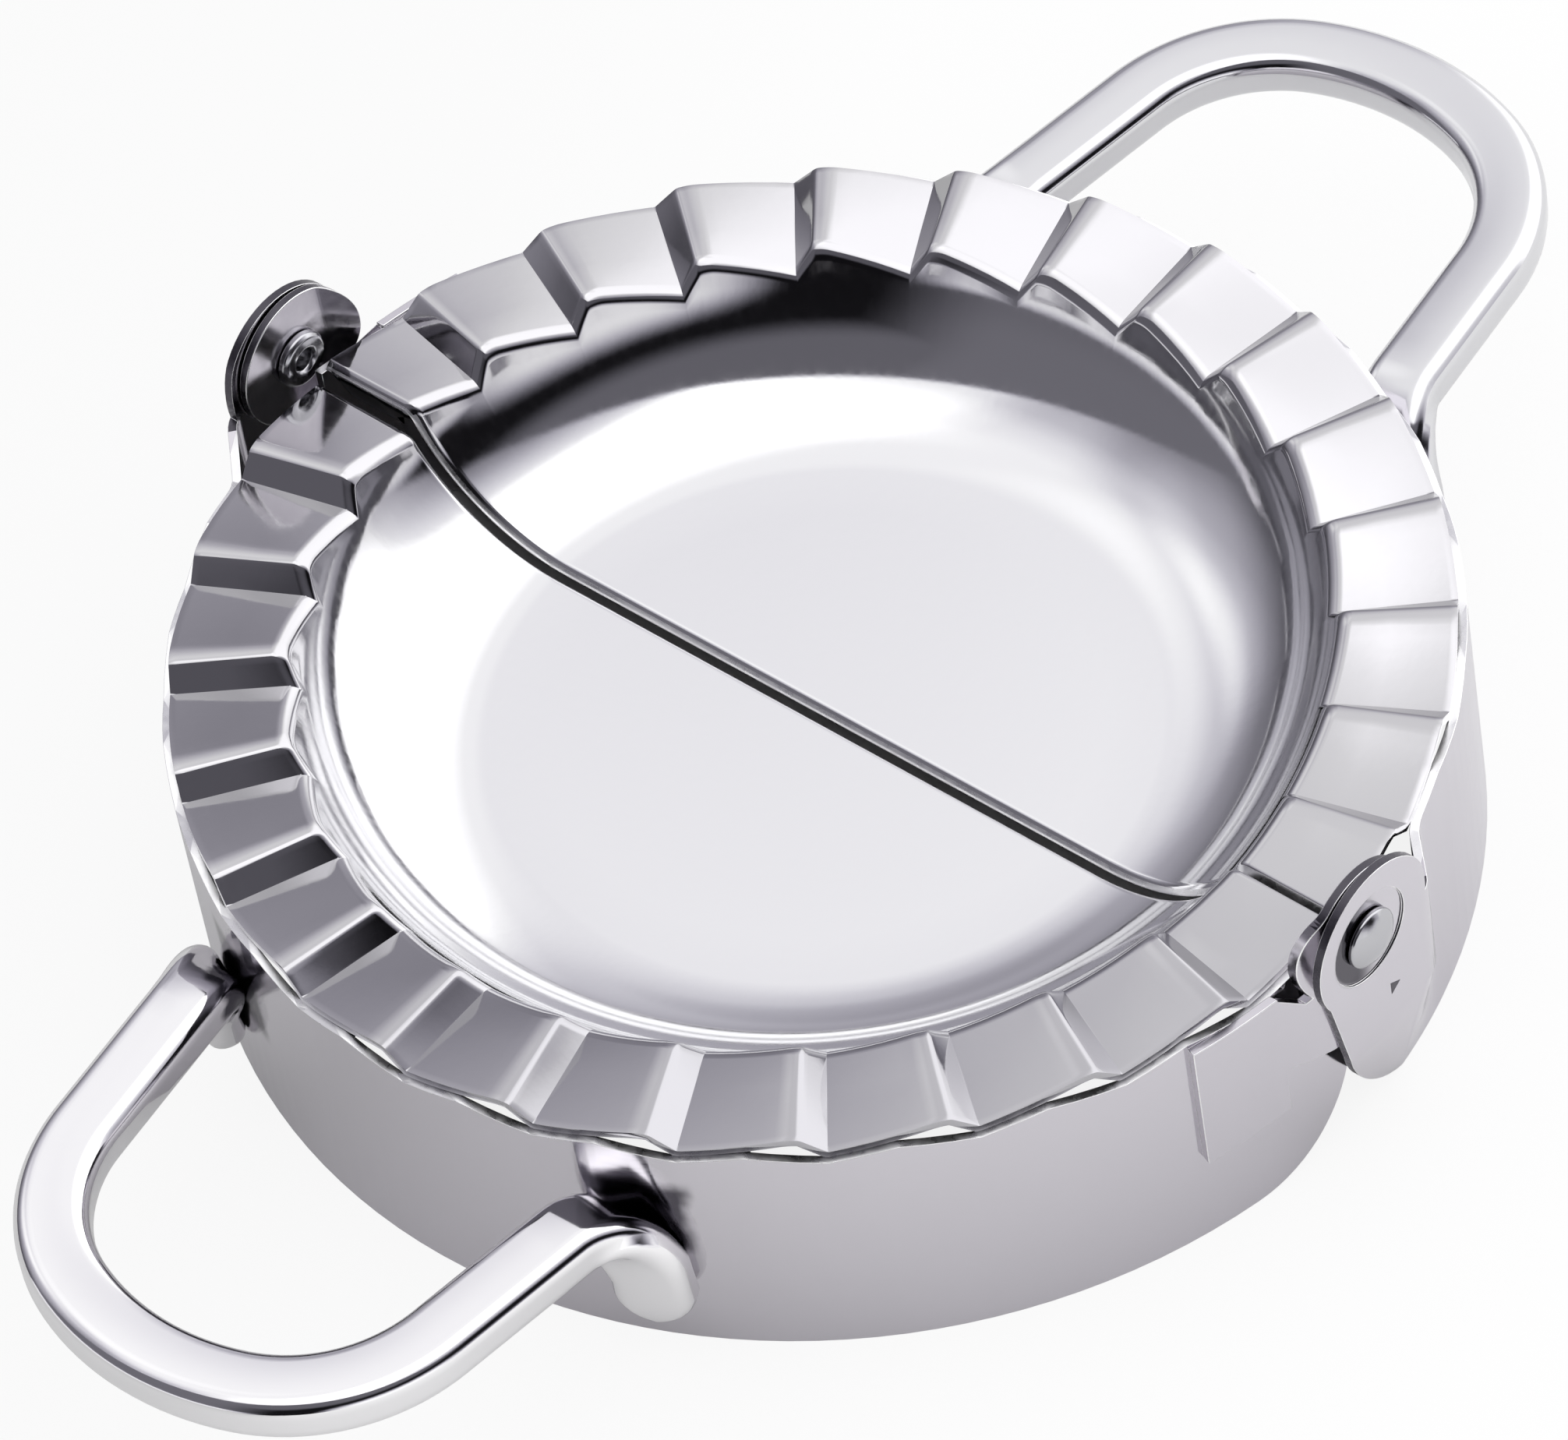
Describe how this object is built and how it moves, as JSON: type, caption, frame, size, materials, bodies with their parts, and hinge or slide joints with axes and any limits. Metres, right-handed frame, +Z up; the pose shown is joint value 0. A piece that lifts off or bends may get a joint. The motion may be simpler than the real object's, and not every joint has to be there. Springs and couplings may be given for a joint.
{
  "type": "empanada press",
  "caption": "Hinged steel dough press: dished halves with toothed crimping rims on cutter walls, riveted at the hinge line, each half with a looped handle.",
  "frame": {"origin": "on the table under the middle of the press as it lies open, at the foot of the cutter walls", "axes": "+Z up out of the bowls; the hinge line runs along X; +Y towards the moving half's handle"},
  "size_m": [0.1046, 0.1516, 0.028],
  "materials": {
    "pressed_sheet": "mirror-polished pressed stainless sheet with faint drawing streaks",
    "wall_strip": "bright rolled stainless strip, faint rolling grain",
    "bracket_plate": "bright stamped stainless plate",
    "rivet": "formed steel rivet, lightly scuffed",
    "handle_bar": "polished stainless bar with rounded edges",
    "weld_bead": "dull weld bead"
  },
  "bodies": {
    "fixed_half": {"fixed_pan": "pressed_sheet", "fixed_pan_welds": "weld_bead", "fixed_cutter_wall": "wall_strip", "fixed_hinge_bracket": "bracket_plate", "fixed_handle": "handle_bar", "right_hinge_rivet": "rivet", "left_hinge_rivet": "rivet"},
    "moving_half": {"moving_pan": "pressed_sheet", "moving_pan_welds": "weld_bead", "moving_cutter_wall": "wall_strip", "moving_hinge_bracket": "bracket_plate", "moving_handle": "handle_bar"}
  },
  "joints": [
    {"name": "fold", "type": "hinge", "parent": "fixed_half", "child": "moving_half", "pos_m": [0, 0, 0.0222], "axis": [1, 0, 0], "range_deg": [0, 180]}
  ]
}
